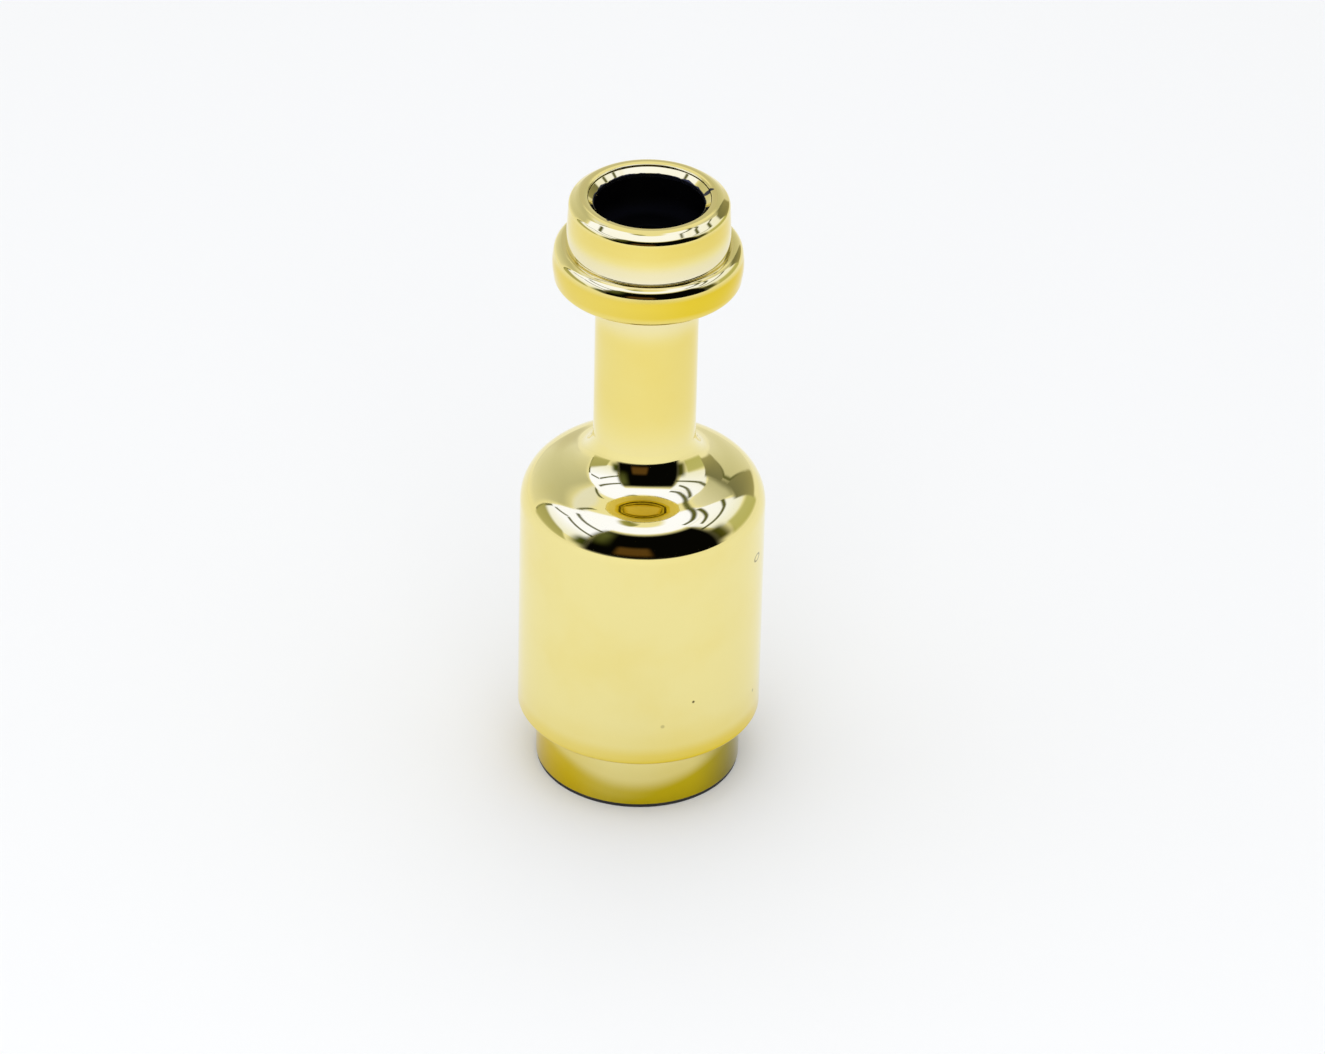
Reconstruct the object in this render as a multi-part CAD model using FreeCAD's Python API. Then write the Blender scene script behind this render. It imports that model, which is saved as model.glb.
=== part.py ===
import FreeCAD, Part
import math
import os

# Modular brass mouthpiece, turned from gold-plated brass and screwed together on one axis.
# Origin: centre of the underside, on the surface that it stands on. +Z runs up the axis to
# the playing rim. All lengths are in millimetres, all angles in degrees.

# Outside of the assembled mouthpiece, from the floor up
BASE_DIAMETER = 31.2
BASE_HEIGHT = 10.0
BODY_DIAMETER = 37.0
BODY_STRAIGHT = 36.1
SHOULDER_SLOPE = 22.0
SHOULDER_ROUNDING = 6.3
NECK_FILLET = 5.9
NECK_DIAMETER = 15.4
NECK_LENGTH = 26.6
COLLAR_LOWER_DIAMETER = 27.7
COLLAR_DIAMETER = 28.5
COLLAR_UPPER_DIAMETER = 27.9
COLLAR_HEIGHT = 6.1
SKIRT_DIAMETER = 24.5
RIM_DIAMETER = 23.8
CROWN_DIAMETER = 20.4
RIM_HEIGHT = 8.3
CROWN_OUTER_DROP = 1.25
CROWN_INNER_DROP = 0.7
CUP_DIAMETER = 16.3

# Edge roundings
EDGE_BREAK = 0.25
BODY_LOWER_ROUNDING = 0.5
COLLAR_LOWER_ROUNDING = 1.0
COLLAR_BULGE_ROUNDING = 8.0
COLLAR_UPPER_ROUNDING = 1.5
RIM_OUTER_ROUNDING = 1.0
CROWN_ROUNDING = 1.9
RIM_INNER_ROUNDING = 1.6

# Clearances
THREAD_CLEARANCE = 0.08
PLUG_CLEARANCE = 0.1
END_GAP = 0.3
SEAL_CLEARANCE = 0.12

# Screw threads: pitch, depth as a share of the pitch, and half of the 60 degree groove
FINE_PITCH = 1.0
COARSE_PITCH = 1.5
THREAD_DEPTH_SHARE = 0.5
GROOVE_HALF_ANGLE = 30.0
THREAD_RELIEF = 0.6

# Male thread crests and how far each one reaches past its seat
RIM_THREAD_DIAMETER = 20.8
RIM_THREAD_REACH = 5.4
CUP_THREAD_DIAMETER = 11.6
CUP_THREAD_REACH = 4.4
NECK_THREAD_DIAMETER = 11.4
NECK_THREAD_REACH = 8.0
BASE_THREAD_DIAMETER = 28.0
BASE_THREAD_REACH = 9.5

# O-rings
SEAL_SECTION = 0.9

# Cup insert and the air passage below it
INSERT_WALL = 0.95
RIM_BITE_HEIGHT = 2.1
BOWL_DEPTH = 5.1
BOWL_FLOOR_DIAMETER = 6.4
THROAT_DIAMETER = 4.0
THROAT_DEPTH = 9.4
STEM_DIAMETER = 8.8
STEM_LENGTH = 11.0
STEM_EXIT_DIAMETER = 5.0
INSERT_SEAT_THICKNESS = 1.9
NECK_BORE_TOP = 5.4
NECK_BORE_BOTTOM = 6.6

# Body shell and the backbore tube that hangs in it
BODY_WALL = 2.5
CAVITY_ROUNDING = 3.5
HUB_HEIGHT = 10.8
TUBE_DIAMETER = 11.2
TUBE_FLANGE_DIAMETER = 18.0
TUBE_FLANGE_THICKNESS = 2.0
TUBE_BORE_TOP = 6.8
TUBE_BORE_BOTTOM = 9.2
TUBE_GUIDE_LENGTH = 4.5
TUBE_SEAL_ABOVE_END = 1.3

# Socket in the base for the instrument's mouthpipe
SOCKET_DIAMETER = 12.5
SOCKET_SHELF_HEIGHT = 14.0
BUSH_WALL = 2.0
BUSH_SEAL_ABOVE_END = 3.2
CLIP_THICKNESS = 0.8
CLIP_RECESS = 0.7
CLIP_DEPTH = 0.65
CLIP_BAND = 1.5
CLIP_GAP_ANGLE = 50.0
CLIP_EAR_DIAMETER = 2.2
CLIP_EAR_HOLE = 0.9

# Foot ring
FOOT_HEIGHT = 0.5
FOOT_SETBACK = 0.15
FOOT_INNER_DIAMETER = 21.0
FOOT_RIB_DIAMETER = 26.0
FOOT_RIB_WIDTH = 1.2
FOOT_RIB_HEIGHT = 1.2

# Radii
BASE_R = BASE_DIAMETER / 2
BODY_R = BODY_DIAMETER / 2
NECK_R = NECK_DIAMETER / 2
COLLAR_LOWER_R = COLLAR_LOWER_DIAMETER / 2
COLLAR_R = COLLAR_DIAMETER / 2
COLLAR_UPPER_R = COLLAR_UPPER_DIAMETER / 2
SKIRT_R = SKIRT_DIAMETER / 2
RIM_R = RIM_DIAMETER / 2
CROWN_R = CROWN_DIAMETER / 2
CUP_R = CUP_DIAMETER / 2
RIM_THREAD_R = RIM_THREAD_DIAMETER / 2
CUP_THREAD_R = CUP_THREAD_DIAMETER / 2
NECK_THREAD_R = NECK_THREAD_DIAMETER / 2
BASE_THREAD_R = BASE_THREAD_DIAMETER / 2
INSERT_R = CUP_R + INSERT_WALL
STEM_R = STEM_DIAMETER / 2
TUBE_R = TUBE_DIAMETER / 2
SOCKET_R = SOCKET_DIAMETER / 2
BUSH_R = SOCKET_R + BUSH_WALL

# Heights of the joint faces, each one where a module seats on the one below
SLOPE_TURN = math.radians(90.0 - SHOULDER_SLOPE)
SLOPE_RISE = (BODY_R - NECK_R) / math.tan(SLOPE_TURN)
BODY_BOTTOM = BASE_HEIGHT
SHOULDER_START = BODY_BOTTOM + BODY_STRAIGHT
SLOPE_LOW = SHOULDER_START + SHOULDER_ROUNDING * math.tan(SLOPE_TURN / 2)
SLOPE_HIGH = SLOPE_LOW + SLOPE_RISE
NECK_BOTTOM = SLOPE_HIGH + NECK_FILLET * math.tan(SLOPE_TURN / 2)
COLLAR_BOTTOM = NECK_BOTTOM + NECK_LENGTH
COLLAR_TOP = COLLAR_BOTTOM + COLLAR_HEIGHT
RIM_TOP = COLLAR_TOP + RIM_HEIGHT

# Heights of the inner seats
INSERT_TOP = RIM_TOP - RIM_BITE_HEIGHT
THREAD_WEB_LOW = COLLAR_BOTTOM + CUP_THREAD_REACH + END_GAP
INSERT_SEAT = THREAD_WEB_LOW + INSERT_SEAT_THICKNESS
STEM_END = INSERT_SEAT - STEM_LENGTH
CAVITY_ROOF = NECK_BOTTOM - HUB_HEIGHT
NECK_TENON_END = NECK_BOTTOM - NECK_THREAD_REACH
TUBE_TOP = NECK_TENON_END - END_GAP
SPIGOT_TOP = BODY_BOTTOM + BASE_THREAD_REACH
TUBE_END = SPIGOT_TOP - TUBE_GUIDE_LENGTH
CLIP_BOTTOM = FOOT_HEIGHT + CLIP_RECESS
CLIP_TOP = CLIP_BOTTOM + CLIP_THICKNESS

SEAL_RECESS = SEAL_SECTION + 2 * SEAL_CLEARANCE

# Outline points closer than this are one point
SAME_POINT = 1e-6


def rounded_corner(before, corner, after, radius):
    """Start, middle and end of the arc that is tangent to both sides of a corner."""
    to_before = [before[i] - corner[i] for i in (0, 1)]
    to_after = [after[i] - corner[i] for i in (0, 1)]
    unit_before = [v / math.hypot(*to_before) for v in to_before]
    unit_after = [v / math.hypot(*to_after) for v in to_after]
    half = 0.5 * math.acos(sum(a * b for a, b in zip(unit_before, unit_after)))
    tangent = radius / math.tan(half)
    inward = [a + b for a, b in zip(unit_before, unit_after)]
    inward = [v / math.hypot(*inward) for v in inward]
    reach = radius / math.sin(half) - radius
    start = [corner[i] + unit_before[i] * tangent for i in (0, 1)]
    middle = [corner[i] + inward[i] * reach for i in (0, 1)]
    end = [corner[i] + unit_after[i] * tangent for i in (0, 1)]
    return start, middle, end


def turned(outline):
    """Solid of revolution about Z. Each outline point is (radius, height[, rounding])."""
    edges = []

    def place(point):
        return FreeCAD.Vector(point[0], 0, point[1])

    def add_line(start, end):
        if math.dist(start, end) > SAME_POINT:
            edges.append(Part.LineSegment(place(start), place(end)).toShape())

    last = None
    first = None
    for index, point in enumerate(outline):
        rounding = point[2] if len(point) > 2 else 0
        if rounding:
            before = outline[index - 1]
            after = outline[(index + 1) % len(outline)]
            start, middle, end = rounded_corner(before, point, after, rounding)
        else:
            start = middle = end = point[:2]
        if last is not None:
            add_line(last, start)
        if rounding:
            edges.append(Part.Arc(place(start), place(middle), place(end)).toShape())
        first = first or start
        last = end
    add_line(last, first)
    face = Part.Face(Part.Wire(edges))
    return face.revolve(FreeCAD.Vector(0, 0, 0), FreeCAD.Vector(0, 0, 1), 360)


def thread(crest, start, end, pitch, outward=False):
    """Outline points of the V grooves between two heights, cut in or, if outward, out."""
    depth = pitch * THREAD_DEPTH_SHARE * (1 if outward else -1)
    half_width = abs(depth) * math.tan(math.radians(GROOVE_HALF_ANGLE))
    way = 1 if end > start else -1
    count = int((abs(end - start) - 2 * half_width) / pitch) + 1
    spare = abs(end - start) - (count - 1) * pitch
    points = []
    for turn in range(count):
        height = start + way * (spare / 2 + turn * pitch)
        points.append((crest, height - way * half_width))
        points.append((crest + depth, height))
        points.append((crest, height + way * half_width))
    return points


def seal_ring(inner_radius, bottom):
    """Round-section O-ring just above a height, clear of the faces around it."""
    section = SEAL_SECTION / 2
    middle = FreeCAD.Vector(0, 0, bottom + SEAL_CLEARANCE + section)
    return Part.makeTorus(inner_radius + section, section, middle)


def seal_inner(crest):
    """Inside radius of an O-ring that slips over a thread crest."""
    return crest + SEAL_CLEARANCE


def seal_pocket(crest):
    """Radius of the counterbore that takes the O-ring around a thread crest."""
    return seal_inner(crest) + SEAL_SECTION + SEAL_CLEARANCE


def foot_ring():
    """Rubber ring under the base, with a rib that plugs into a groove in the base."""
    outer = BASE_R - FOOT_SETBACK
    inner = FOOT_INNER_DIAMETER / 2
    rib_outer = (FOOT_RIB_DIAMETER + FOOT_RIB_WIDTH) / 2
    rib_inner = (FOOT_RIB_DIAMETER - FOOT_RIB_WIDTH) / 2
    rib_top = FOOT_HEIGHT + FOOT_RIB_HEIGHT
    return turned([
        (inner, 0),
        (outer, 0),
        (outer, FOOT_HEIGHT),
        (rib_outer, FOOT_HEIGHT),
        (rib_outer, rib_top),
        (rib_inner, rib_top),
        (rib_inner, FOOT_HEIGHT),
        (inner, FOOT_HEIGHT),
    ])


def base_ring():
    """Foot of the mouthpiece: threaded spigot above, socket for the bush through it."""
    groove_outer = (FOOT_RIB_DIAMETER + FOOT_RIB_WIDTH) / 2 + PLUG_CLEARANCE
    groove_inner = (FOOT_RIB_DIAMETER - FOOT_RIB_WIDTH) / 2 - PLUG_CLEARANCE
    groove_top = FOOT_HEIGHT + FOOT_RIB_HEIGHT + PLUG_CLEARANCE
    bush_bore = BUSH_R + PLUG_CLEARANCE / 2
    clip_groove = bush_bore + CLIP_DEPTH + PLUG_CLEARANCE
    tube_bore = TUBE_R + PLUG_CLEARANCE
    relief = BASE_THREAD_R - COARSE_PITCH * THREAD_DEPTH_SHARE
    relief_top = BODY_BOTTOM + SEAL_RECESS
    outline = [
        (bush_bore, FOOT_HEIGHT),
        (groove_inner, FOOT_HEIGHT),
        (groove_inner, groove_top),
        (groove_outer, groove_top),
        (groove_outer, FOOT_HEIGHT),
        (BASE_R, FOOT_HEIGHT, EDGE_BREAK),
        (BASE_R, BODY_BOTTOM),
        (BASE_THREAD_R, BODY_BOTTOM),
        (BASE_THREAD_R, relief_top),
    ]
    outline += thread(BASE_THREAD_R, relief_top, SPIGOT_TOP - THREAD_RELIEF, COARSE_PITCH)
    outline += [
        (BASE_THREAD_R, SPIGOT_TOP - THREAD_RELIEF),
        (relief, SPIGOT_TOP),
        (tube_bore, SPIGOT_TOP, EDGE_BREAK),
        (tube_bore, SOCKET_SHELF_HEIGHT),
        (bush_bore, SOCKET_SHELF_HEIGHT),
        (bush_bore, CLIP_TOP + PLUG_CLEARANCE),
        (clip_groove, CLIP_TOP + PLUG_CLEARANCE),
        (clip_groove, CLIP_BOTTOM - PLUG_CLEARANCE),
        (bush_bore, CLIP_BOTTOM - PLUG_CLEARANCE),
    ]
    return turned(outline)


def bush_seal_bottom():
    """Height of the groove for the O-ring inside the receiver bush."""
    return CLIP_TOP + PLUG_CLEARANCE + BUSH_SEAL_ABOVE_END


def receiver_bush():
    """Sleeve that the mouthpipe slides into, with an O-ring groove in its bore."""
    bottom = CLIP_TOP + PLUG_CLEARANCE
    top = SOCKET_SHELF_HEIGHT - PLUG_CLEARANCE
    groove_low = bush_seal_bottom()
    groove_high = groove_low + SEAL_RECESS
    groove_radius = SOCKET_R + SEAL_SECTION + 2 * SEAL_CLEARANCE
    return turned([
        (SOCKET_R, bottom),
        (BUSH_R, bottom, EDGE_BREAK),
        (BUSH_R, top, EDGE_BREAK),
        (SOCKET_R, top),
        (SOCKET_R, groove_high),
        (groove_radius, groove_high),
        (groove_radius, groove_low),
        (SOCKET_R, groove_low),
    ])


def receiver_seal():
    """O-ring that grips the mouthpipe, in its groove in the bush."""
    return seal_ring(SOCKET_R + SEAL_CLEARANCE, bush_seal_bottom())


def retaining_clip():
    """Open spring ring under the bush, with a plier hole in each ear."""
    outer = BUSH_R + PLUG_CLEARANCE / 2 + CLIP_DEPTH
    inner = outer - CLIP_BAND
    ring = turned([
        (inner, CLIP_BOTTOM),
        (outer, CLIP_BOTTOM),
        (outer, CLIP_TOP),
        (inner, CLIP_TOP),
    ])
    corner = FreeCAD.Vector(0, 0, CLIP_BOTTOM)
    up = FreeCAD.Vector(0, 0, 1)
    half_gap = CLIP_GAP_ANGLE / 2
    wedge = Part.makeCylinder(2 * outer, CLIP_THICKNESS, corner, up, CLIP_GAP_ANGLE)
    wedge.rotate(corner, up, -half_gap)
    clip = ring.cut(wedge)
    ear_angle = math.radians(half_gap) + CLIP_EAR_DIAMETER / 2 / inner
    for side in (-1, 1):
        centre = FreeCAD.Vector(
            inner * math.cos(ear_angle), side * inner * math.sin(ear_angle), CLIP_BOTTOM
        )
        ear = Part.makeCylinder(CLIP_EAR_DIAMETER / 2, CLIP_THICKNESS, centre, up)
        hole = Part.makeCylinder(CLIP_EAR_HOLE / 2, CLIP_THICKNESS, centre, up)
        clip = clip.fuse(ear).cut(hole)
    return clip.removeSplitter().Solids[0]


def base_seal():
    """O-ring around the root of the base spigot, in the body's lower counterbore."""
    return seal_ring(seal_inner(BASE_THREAD_R), BODY_BOTTOM)


def body_shell():
    """Barrel with a rounded shoulder and a waisted throat, hollow and open below."""
    lower_pocket = seal_pocket(BASE_THREAD_R)
    lower_minor = BASE_THREAD_R + THREAD_CLEARANCE
    lower_thread_top = SPIGOT_TOP + END_GAP
    upper_pocket = seal_pocket(NECK_THREAD_R)
    upper_minor = NECK_THREAD_R + THREAD_CLEARANCE
    cavity = BODY_R - BODY_WALL
    cavity_start = lower_thread_top + (cavity - lower_minor)
    outline = [
        (lower_pocket, BODY_BOTTOM),
        (BODY_R, BODY_BOTTOM, BODY_LOWER_ROUNDING),
        (BODY_R, SLOPE_LOW, SHOULDER_ROUNDING),
        (NECK_R, SLOPE_HIGH, NECK_FILLET),
        (NECK_R, NECK_BOTTOM),
        (upper_pocket, NECK_BOTTOM),
        (upper_pocket, NECK_BOTTOM - SEAL_RECESS),
        (upper_minor, NECK_BOTTOM - SEAL_RECESS),
    ]
    outline += thread(
        upper_minor, NECK_BOTTOM - SEAL_RECESS, NECK_TENON_END, FINE_PITCH, outward=True
    )
    outline += [
        (upper_minor, CAVITY_ROOF),
        (cavity, CAVITY_ROOF, CAVITY_ROUNDING),
        (cavity, cavity_start),
        (lower_minor, lower_thread_top),
    ]
    outline += thread(
        lower_minor, lower_thread_top, BODY_BOTTOM + SEAL_RECESS, COARSE_PITCH, outward=True
    )
    outline += [
        (lower_minor, BODY_BOTTOM + SEAL_RECESS),
        (lower_pocket, BODY_BOTTOM + SEAL_RECESS),
    ]
    return turned(outline)


def tube_seal_bottom():
    """Height of the groove for the O-ring near the backbore tube's lower end."""
    return TUBE_END + TUBE_SEAL_ABOVE_END


def backbore_tube():
    """Tapered air tube, soldered up into the body's hub and free at its lower end."""
    hub_plug = NECK_THREAD_R + THREAD_CLEARANCE - PLUG_CLEARANCE / 2
    flange = TUBE_FLANGE_DIAMETER / 2
    flange_bottom = CAVITY_ROOF - TUBE_FLANGE_THICKNESS
    groove_low = tube_seal_bottom()
    groove_high = groove_low + SEAL_RECESS
    groove_radius = TUBE_R - SEAL_SECTION - SEAL_CLEARANCE
    return turned([
        (TUBE_BORE_BOTTOM / 2, TUBE_END),
        (TUBE_R, TUBE_END, EDGE_BREAK),
        (TUBE_R, groove_low),
        (groove_radius, groove_low),
        (groove_radius, groove_high),
        (TUBE_R, groove_high),
        (TUBE_R, flange_bottom, TUBE_FLANGE_THICKNESS / 2),
        (flange, flange_bottom, EDGE_BREAK),
        (flange, CAVITY_ROOF),
        (hub_plug, CAVITY_ROOF),
        (hub_plug, TUBE_TOP, EDGE_BREAK),
        (TUBE_BORE_TOP / 2, TUBE_TOP),
    ])


def tube_seal():
    """O-ring in the groove near the backbore tube's lower end."""
    return seal_ring(TUBE_R - SEAL_SECTION - SEAL_CLEARANCE / 2, tube_seal_bottom())


def neck_seal():
    """O-ring at the root of the neck's lower tenon, in the body's upper counterbore."""
    return seal_ring(seal_inner(NECK_THREAD_R), NECK_BOTTOM - SEAL_RECESS)


def neck_tube():
    """Plain tube with a threaded tenon at each end and the tapered bore through it."""
    stem_bore = STEM_R + PLUG_CLEARANCE
    upper_end = COLLAR_BOTTOM + CUP_THREAD_REACH
    lower_root = NECK_BOTTOM - SEAL_RECESS
    upper_root = COLLAR_BOTTOM + SEAL_RECESS
    fine_depth = FINE_PITCH * THREAD_DEPTH_SHARE
    outline = [
        (NECK_BORE_BOTTOM / 2, NECK_TENON_END),
        (NECK_THREAD_R - fine_depth, NECK_TENON_END),
        (NECK_THREAD_R, NECK_TENON_END + THREAD_RELIEF),
    ]
    outline += thread(NECK_THREAD_R, NECK_TENON_END + THREAD_RELIEF, lower_root, FINE_PITCH)
    outline += [
        (NECK_THREAD_R, lower_root),
        (NECK_THREAD_R, NECK_BOTTOM),
        (NECK_R, NECK_BOTTOM),
        (NECK_R, COLLAR_BOTTOM),
        (CUP_THREAD_R, COLLAR_BOTTOM),
        (CUP_THREAD_R, upper_root),
    ]
    outline += thread(CUP_THREAD_R, upper_root, upper_end - THREAD_RELIEF, FINE_PITCH)
    outline += [
        (CUP_THREAD_R, upper_end - THREAD_RELIEF),
        (CUP_THREAD_R - fine_depth, upper_end),
        (stem_bore, upper_end),
        (stem_bore, STEM_END - END_GAP),
        (NECK_BORE_TOP / 2, STEM_END - END_GAP),
    ]
    return turned(outline)


def cup_seal():
    """O-ring at the root of the neck's upper tenon, in the cup housing's counterbore."""
    return seal_ring(seal_inner(CUP_THREAD_R), COLLAR_BOTTOM)


def cup_housing():
    """Bulged collar with a threaded spigot above for the rim and a thread below for the neck."""
    pocket = seal_pocket(CUP_THREAD_R)
    pocket_top = COLLAR_BOTTOM + SEAL_RECESS
    minor = CUP_THREAD_R + THREAD_CLEARANCE
    spigot_top = COLLAR_TOP + RIM_THREAD_REACH
    spigot_root = COLLAR_TOP + SEAL_RECESS
    insert_bore = INSERT_R + PLUG_CLEARANCE / 2
    outline = [
        (pocket, COLLAR_BOTTOM),
        (COLLAR_LOWER_R, COLLAR_BOTTOM, COLLAR_LOWER_ROUNDING),
        (COLLAR_R, (COLLAR_BOTTOM + COLLAR_TOP) / 2, COLLAR_BULGE_ROUNDING),
        (COLLAR_UPPER_R, COLLAR_TOP, COLLAR_UPPER_ROUNDING),
        (RIM_THREAD_R, COLLAR_TOP),
        (RIM_THREAD_R, spigot_root),
    ]
    outline += thread(RIM_THREAD_R, spigot_root, spigot_top - THREAD_RELIEF, FINE_PITCH)
    outline += [
        (RIM_THREAD_R, spigot_top - THREAD_RELIEF),
        (RIM_THREAD_R - FINE_PITCH * THREAD_DEPTH_SHARE, spigot_top),
        (insert_bore, spigot_top),
        (insert_bore, INSERT_SEAT),
        (STEM_R + PLUG_CLEARANCE, INSERT_SEAT),
        (STEM_R + PLUG_CLEARANCE, THREAD_WEB_LOW),
        (minor, THREAD_WEB_LOW),
    ]
    outline += thread(minor, THREAD_WEB_LOW, pocket_top, FINE_PITCH, outward=True)
    outline += [
        (minor, pocket_top),
        (pocket, pocket_top),
    ]
    return turned(outline)


def cup_insert():
    """Black cup: a bowl that narrows to the throat, and a stem that plugs into the neck."""
    bowl_floor = INSERT_TOP - BOWL_DEPTH
    throat_top = RIM_TOP - THROAT_DEPTH
    throat_end = throat_top - THROAT_DIAMETER
    return turned([
        (STEM_EXIT_DIAMETER / 2, STEM_END),
        (STEM_R, STEM_END, EDGE_BREAK),
        (STEM_R, INSERT_SEAT),
        (INSERT_R, INSERT_SEAT, EDGE_BREAK),
        (INSERT_R, INSERT_TOP, EDGE_BREAK),
        (CUP_R, INSERT_TOP),
        (CUP_R, bowl_floor, BOWL_DEPTH / 2),
        (BOWL_FLOOR_DIAMETER / 2, bowl_floor, EDGE_BREAK),
        (THROAT_DIAMETER / 2, throat_top, EDGE_BREAK),
        (THROAT_DIAMETER / 2, throat_end),
    ])


def rim_seal():
    """O-ring at the root of the cup housing's spigot, in the rim's counterbore."""
    return seal_ring(seal_inner(RIM_THREAD_R), COLLAR_TOP)


def rim():
    """Screw-on playing rim: crowned lip above, plain skirt outside, thread inside."""
    pocket = seal_pocket(RIM_THREAD_R)
    pocket_top = COLLAR_TOP + SEAL_RECESS
    minor = RIM_THREAD_R + THREAD_CLEARANCE
    thread_top = COLLAR_TOP + RIM_THREAD_REACH + END_GAP
    insert_bore = INSERT_R + PLUG_CLEARANCE
    outline = [
        (pocket, COLLAR_TOP),
        (SKIRT_R, COLLAR_TOP, EDGE_BREAK),
        (RIM_R, RIM_TOP - CROWN_OUTER_DROP, RIM_OUTER_ROUNDING),
        (CROWN_R, RIM_TOP, CROWN_ROUNDING),
        (CUP_R, RIM_TOP - CROWN_INNER_DROP, RIM_INNER_ROUNDING),
        (CUP_R, INSERT_TOP + PLUG_CLEARANCE),
        (insert_bore, INSERT_TOP + PLUG_CLEARANCE),
        (insert_bore, thread_top),
        (minor, thread_top),
    ]
    outline += thread(minor, thread_top, pocket_top, FINE_PITCH, outward=True)
    outline += [
        (minor, pocket_top),
        (pocket, pocket_top),
    ]
    return turned(outline)


PIECES = {
    "foot_ring": foot_ring,
    "base_ring": base_ring,
    "receiver_bush": receiver_bush,
    "receiver_seal": receiver_seal,
    "retaining_clip": retaining_clip,
    "base_seal": base_seal,
    "body_shell": body_shell,
    "backbore_tube": backbore_tube,
    "tube_seal": tube_seal,
    "neck_seal": neck_seal,
    "neck_tube": neck_tube,
    "cup_seal": cup_seal,
    "cup_housing": cup_housing,
    "cup_insert": cup_insert,
    "rim_seal": rim_seal,
    "rim": rim,
}

os.makedirs("parts", exist_ok=True)
for name, make in PIECES.items():
    make().exportStep("parts/" + name + ".step")
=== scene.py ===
import math

import bpy
import numpy as np
from mathutils import Matrix, Vector


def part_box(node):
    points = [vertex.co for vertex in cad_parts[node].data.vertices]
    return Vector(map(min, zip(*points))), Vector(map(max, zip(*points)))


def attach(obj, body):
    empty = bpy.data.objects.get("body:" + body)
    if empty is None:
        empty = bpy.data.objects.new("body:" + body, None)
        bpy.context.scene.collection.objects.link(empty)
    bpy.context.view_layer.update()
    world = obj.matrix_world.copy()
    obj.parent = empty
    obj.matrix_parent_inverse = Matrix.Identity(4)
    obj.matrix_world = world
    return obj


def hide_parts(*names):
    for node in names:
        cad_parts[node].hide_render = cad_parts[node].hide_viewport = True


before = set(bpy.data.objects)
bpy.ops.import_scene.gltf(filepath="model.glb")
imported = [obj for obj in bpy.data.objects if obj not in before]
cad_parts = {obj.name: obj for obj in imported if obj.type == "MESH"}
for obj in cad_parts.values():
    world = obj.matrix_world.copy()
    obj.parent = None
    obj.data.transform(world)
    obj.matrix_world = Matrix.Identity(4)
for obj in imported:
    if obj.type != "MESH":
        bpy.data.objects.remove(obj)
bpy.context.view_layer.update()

# ---------------------------------------------------------------------------------------
# Foot ring: a flat ring of black nitrile rubber whose rib is pressed into the base.
# Moulded, with a satin skin. It keeps the metal off the table; its black gives the thin dark line
# at the foot, which stands in part for the contact shadow there, so it is in part painted shade.

MM = 0.001


class Nodes:
    """Short way to add and join the nodes of one shader tree."""

    def __init__(self, tree):
        self.tree = tree

    def add(self, kind, inputs=(), **settings):
        """Adds a node of a kind, with its settings and its inputs."""
        node = self.tree.nodes.new(kind)
        for name, value in settings.items():
            setattr(node, name, value)
        self.fill(node, dict(inputs))
        return node

    def fill(self, node, inputs):
        """Gives each input, by its name or number, a value or another node's output."""
        for socket, value in inputs.items():
            if isinstance(value, bpy.types.NodeSocket):
                self.tree.links.new(value, node.inputs[socket])
            else:
                node.inputs[socket].default_value = value

    def math(self, operation, *values, clamp=False):
        node = self.add("ShaderNodeMath", enumerate(values), operation=operation, use_clamp=clamp)
        return node.outputs[0]

    def ramp(self, value, low, high, to_low=0.0, to_high=1.0):
        """Carries a value from one range to another with soft ends."""
        inputs = {"Value": value, "From Min": low, "From Max": high}
        inputs.update({"To Min": to_low, "To Max": to_high})
        node = self.add("ShaderNodeMapRange", inputs, interpolation_type="SMOOTHSTEP")
        return node.outputs["Result"]

    def vector(self, operation, *values):
        node = self.add("ShaderNodeVectorMath", enumerate(values), operation=operation)
        return node.outputs["Value" if operation == "LENGTH" else "Vector"]

    def place(self):
        """The place on the piece in metres, from the middle of its foot."""
        return self.add("ShaderNodeTexCoord").outputs["Object"]

    def split_place(self):
        """The place's distance to the right, to the back and up."""
        return self.add("ShaderNodeSeparateXYZ", {"Vector": self.place()}).outputs

    def radius(self):
        """The distance from the turning axis."""
        return self.vector("LENGTH", self.vector("MULTIPLY", self.place(), (1.0, 1.0, 0.0)))

    def mix(self, share, first, second):
        """Mixes two colours; the node's sockets share their names, so they go by number."""
        node = self.add("ShaderNodeMix", {0: share, 6: first, 7: second}, data_type="RGBA")
        return node.outputs[2]


def effect_group(name, inputs, outputs):
    """An empty shader group with number inputs and outputs: (group, nodes, inlet, outlet)."""
    group = bpy.data.node_groups.new(name, "ShaderNodeTree")
    for label, value in inputs.items():
        socket = group.interface.new_socket(label, in_out="INPUT", socket_type="NodeSocketFloat")
        socket.default_value = value
    for label in outputs:
        group.interface.new_socket(label, in_out="OUTPUT", socket_type="NodeSocketFloat")
    nodes = Nodes(group)
    inlet = nodes.add("NodeGroupInput")
    outlet = nodes.add("NodeGroupOutput")
    return group, nodes, inlet, outlet


def skin_grain_group():
    """Fine moulded grain and broad unevenness of a plastic or rubber skin."""
    group, nodes, inlet, outlet = effect_group(
        "skin_grain", {"Grain Scale": 2500.0, "Cloud Scale": 120.0}, ["Grain", "Clouds"]
    )
    place = nodes.place()
    grain = nodes.add(
        "ShaderNodeTexNoise",
        {"Vector": place, "Scale": inlet.outputs["Grain Scale"], "Detail": 3.0},
    )
    clouds = nodes.add(
        "ShaderNodeTexNoise",
        {"Vector": place, "Scale": inlet.outputs["Cloud Scale"], "Detail": 4.0},
    )
    nodes.tree.links.new(grain.outputs["Fac"], outlet.inputs["Grain"])
    nodes.tree.links.new(clouds.outputs["Fac"], outlet.inputs["Clouds"])
    return group


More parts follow.
